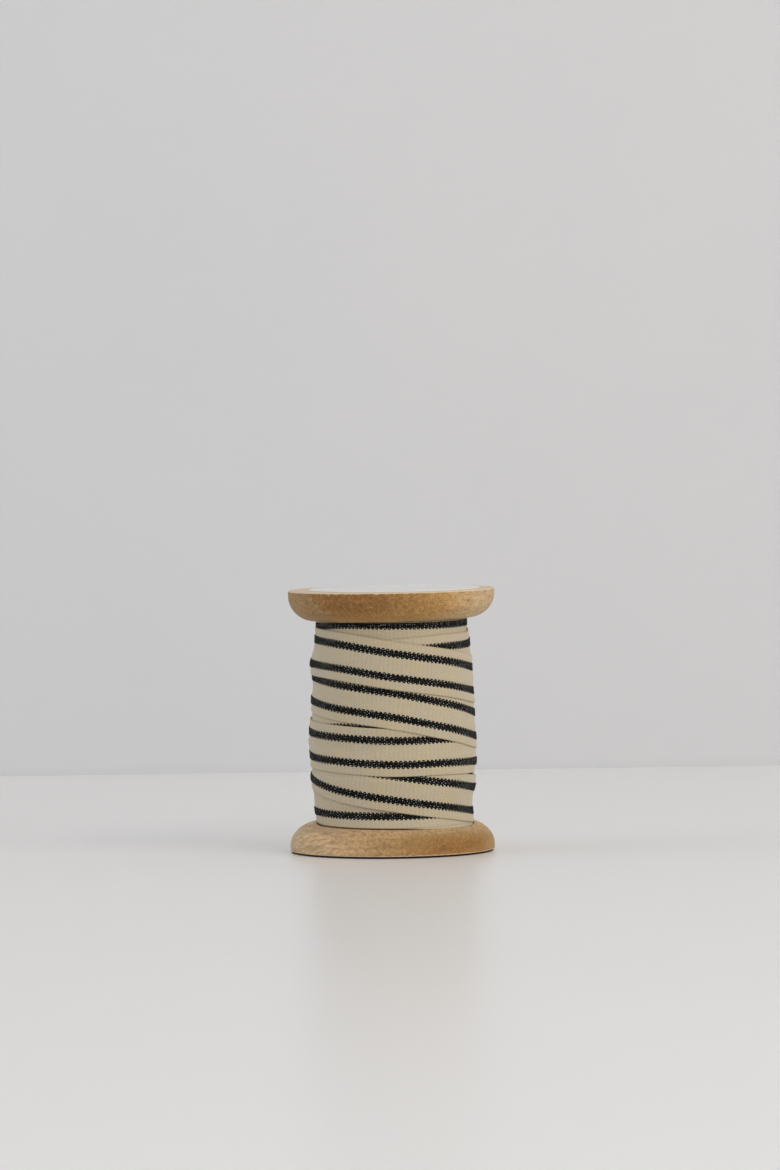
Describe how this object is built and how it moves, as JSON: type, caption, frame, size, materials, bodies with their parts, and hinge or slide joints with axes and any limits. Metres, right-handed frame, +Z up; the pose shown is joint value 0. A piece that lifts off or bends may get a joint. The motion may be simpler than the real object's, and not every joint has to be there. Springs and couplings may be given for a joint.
{
  "type": "roll of ribbon on a wooden spool",
  "caption": "Roll of woven ribbon wound in slanting lapped turns on a turned wooden spool with rounded end discs and a plain round paper on its top face.",
  "frame": {"origin": "middle of the floor face of the bottom disc, which is also the middle of the part's footprint", "axes": "+Z up along the spool; -Y is the front, where the picture looks from; +X is the picture's right"},
  "size_m": [0.0555, 0.0552, 0.0707],
  "materials": {
    "wood": "matte",
    "ribbon": "matte",
    "label": "matte"
  },
  "bodies": {
    "root": {"bottom_flange": "wood", "top_flange": "wood", "ribbon_roll": "ribbon", "top_label": "label"}
  },
  "joints": []
}
